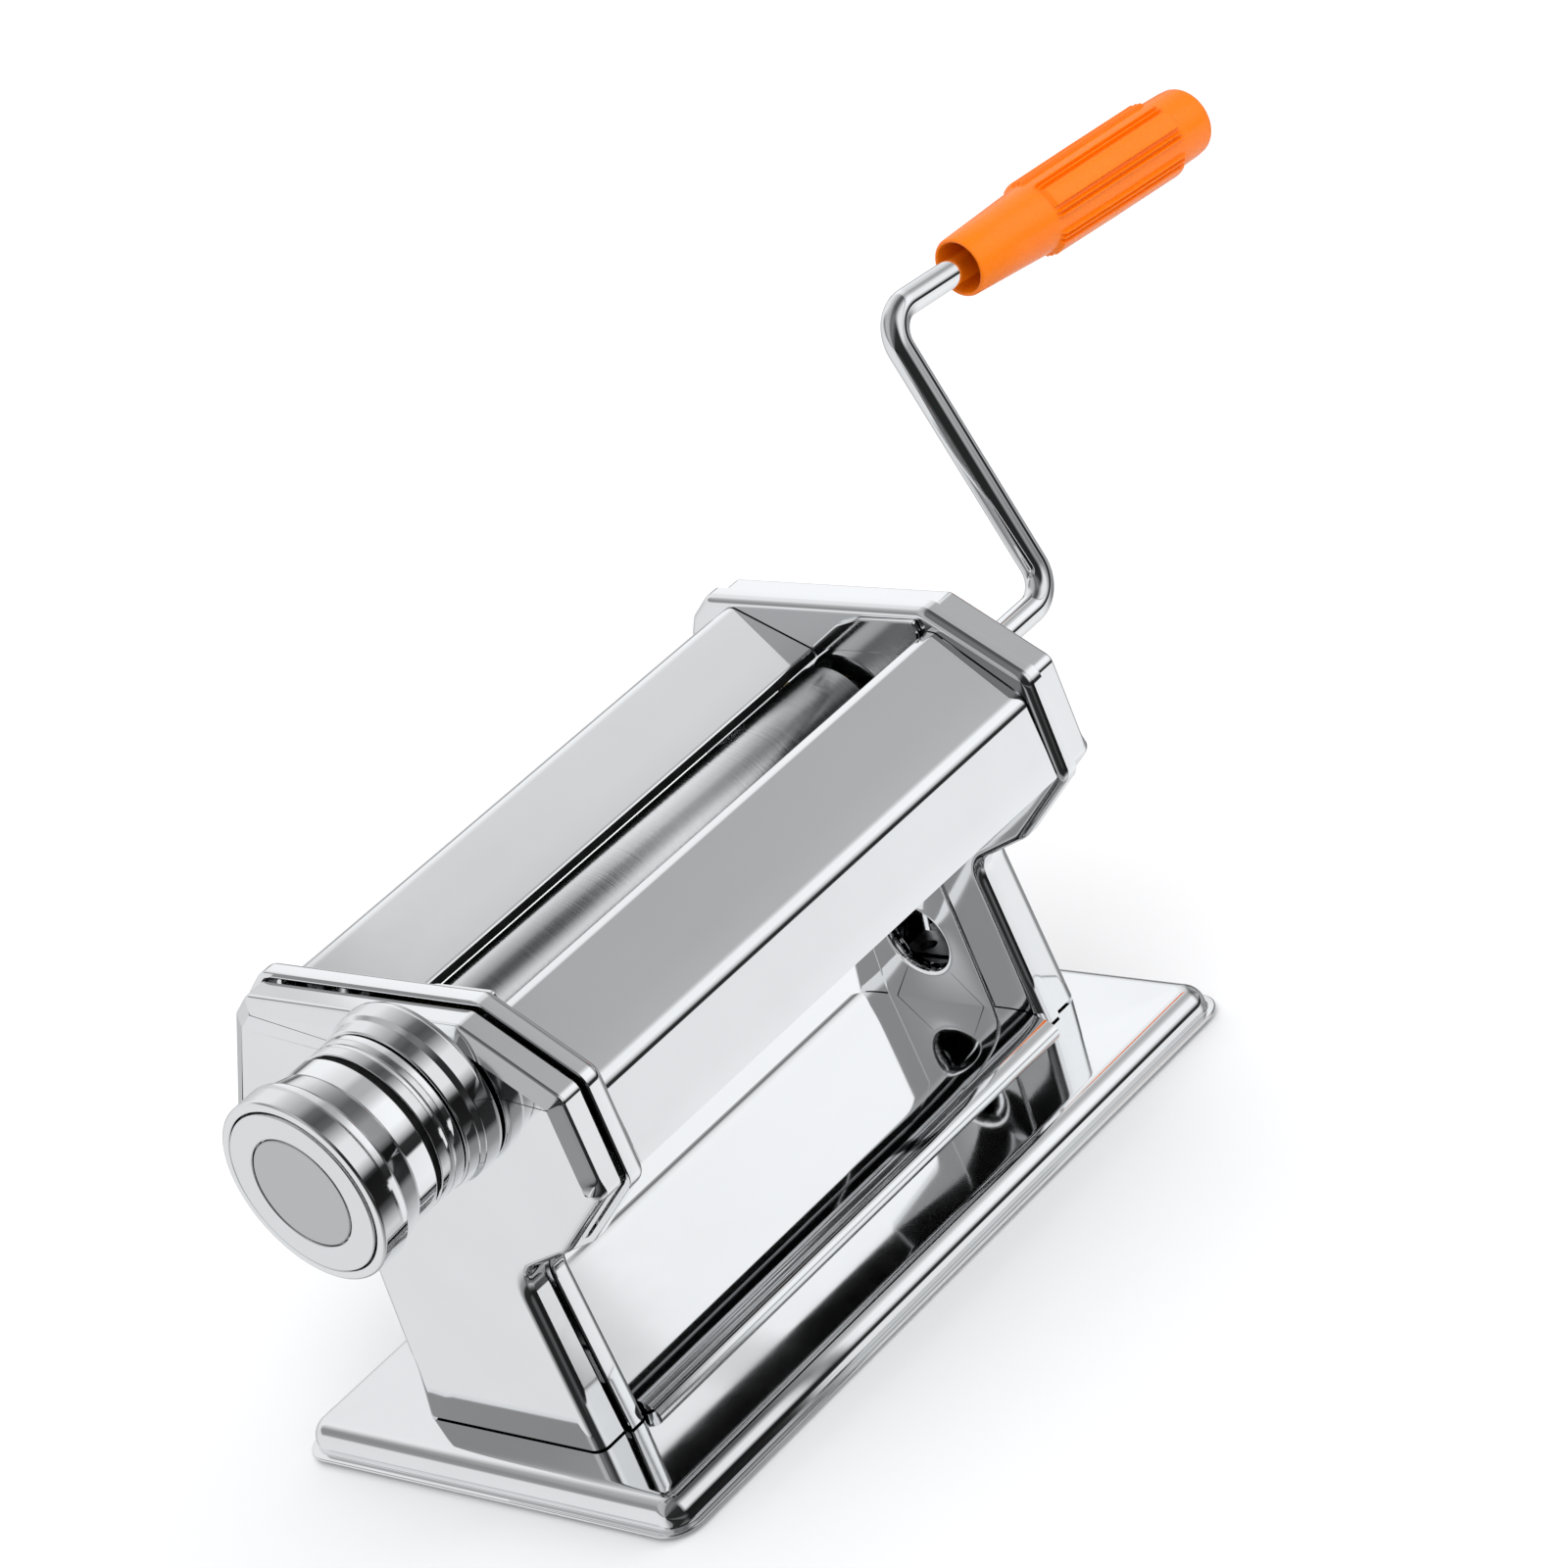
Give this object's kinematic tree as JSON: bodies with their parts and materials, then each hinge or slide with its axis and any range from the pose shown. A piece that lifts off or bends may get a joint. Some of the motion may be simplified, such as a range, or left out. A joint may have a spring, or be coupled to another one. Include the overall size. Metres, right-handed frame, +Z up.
{
  "type": "pasta roller machine",
  "caption": "Polished hand-cranked pasta roller machine on a stamped base, with a turned thickness dial and a cranked handle with an orange grip.",
  "frame": {"origin": "under the middle of the whole machine's bounding box, crank and dial included, on the surface that its rubber feet stand on", "axes": "+X along the rollers towards the crank, the thickness dial is at -X, -Y is the front where the rolled sheet comes out, +Z up"},
  "size_m": [0.3674, 0.1288, 0.1752],
  "materials": {
    "polished_shell": "mirror polished",
    "roller_steel": "fine ground",
    "satin_metal": "satin",
    "steel_parts": "plain zinc plated",
    "brass_parts": "machined",
    "bush_nylon": "moulded",
    "foot_rubber": "matte",
    "grip_plastic": "glossy orange"
  },
  "bodies": {
    "frame": {"base_plate": "polished_shell", "base_screw_1": "steel_parts", "base_screw_2": "steel_parts", "base_screw_3": "steel_parts", "base_screw_4": "steel_parts", "rubber_foot_1": "foot_rubber", "rubber_foot_2": "foot_rubber", "rubber_foot_3": "foot_rubber", "rubber_foot_4": "foot_rubber", "stand_inner_left": "polished_shell", "stand_inner_right": "polished_shell", "stand_outer_left": "polished_shell", "stand_outer_right": "polished_shell", "foot_block_left": "steel_parts", "foot_block_right": "steel_parts", "tie_rod_front": "steel_parts", "tie_rod_rear": "steel_parts", "tie_rod_nut_front_left": "steel_parts", "tie_rod_nut_front_right": "steel_parts", "tie_rod_nut_rear_left": "steel_parts", "tie_rod_nut_rear_right": "steel_parts", "rear_cover": "polished_shell", "front_cover": "polished_shell", "dough_guide_left": "polished_shell", "dough_guide_right": "polished_shell", "drive_bush_left": "bush_nylon", "drive_bush_right": "bush_nylon", "crank_bush": "bush_nylon", "hub_collar": "polished_shell", "scraper_front": "roller_steel", "return_spring_left": "steel_parts", "return_spring_right": "steel_parts", "spring_lug_left": "steel_parts", "spring_lug_right": "steel_parts"},
    "drive": {"drive_roller": "roller_steel", "drive_gear": "steel_parts", "crank_rod": "polished_shell", "grip_end_washer": "steel_parts"},
    "grip": {"crank_grip": "grip_plastic"},
    "carriage": {"bearing_block_left": "brass_parts", "bearing_block_right": "brass_parts", "carriage_bar": "steel_parts", "scraper_rear": "roller_steel"},
    "second_roller": {"adjust_roller": "roller_steel", "adjust_gear": "steel_parts"},
    "dial_shaft": {"dial_shaft": "steel_parts", "dial_cam": "brass_parts", "dial_stop_washer": "steel_parts", "dial_spring": "steel_parts"},
    "dial_knob": {"dial_knob": "polished_shell", "dial_face_ring": "satin_metal", "dial_face_disc": "satin_metal", "index_pin": "steel_parts"}
  },
  "joints": [
    {"name": "crank_turn", "type": "hinge", "parent": "frame", "child": "drive", "pos_m": [-0.05539, -0.02784, 0.097], "axis": [1, 0, 0], "continuous": true},
    {"name": "grip_spin", "type": "hinge", "parent": "drive", "child": "grip", "pos_m": [0.06961, -0.00726, 0.16974], "axis": [0.9962, -0.0237, -0.0839], "continuous": true},
    {"name": "dial_turn", "type": "hinge", "parent": "frame", "child": "dial_shaft", "pos_m": [-0.05539, -0.02284, 0.1063], "axis": [-1, 0, 0], "range_deg": [0, 270]},
    {"name": "dial_pull", "type": "slide", "parent": "dial_shaft", "child": "dial_knob", "axis": [-1, 0, 0], "range_m": [0, 0.004], "stiffness_N_per_m": 600, "springref_m": -0.002, "deforming": ["dial_spring"]},
    {"name": "gap_slide", "type": "slide", "parent": "frame", "child": "carriage", "axis": [0, 1, 0], "range_m": [0, 0.0024], "deforming": ["return_spring_left", "return_spring_right"]},
    {"name": "second_roller_turn", "type": "hinge", "parent": "carriage", "child": "second_roller", "pos_m": [-0.05539, -0.00384, 0.097], "axis": [1, 0, 0], "continuous": true}
  ],
  "couplings": [
    {"joint": "dial_turn", "follows": "gap_slide", "rad_per_m": 1963.5},
    {"joint": "second_roller_turn", "follows": "crank_turn", "ratio": -1}
  ]
}
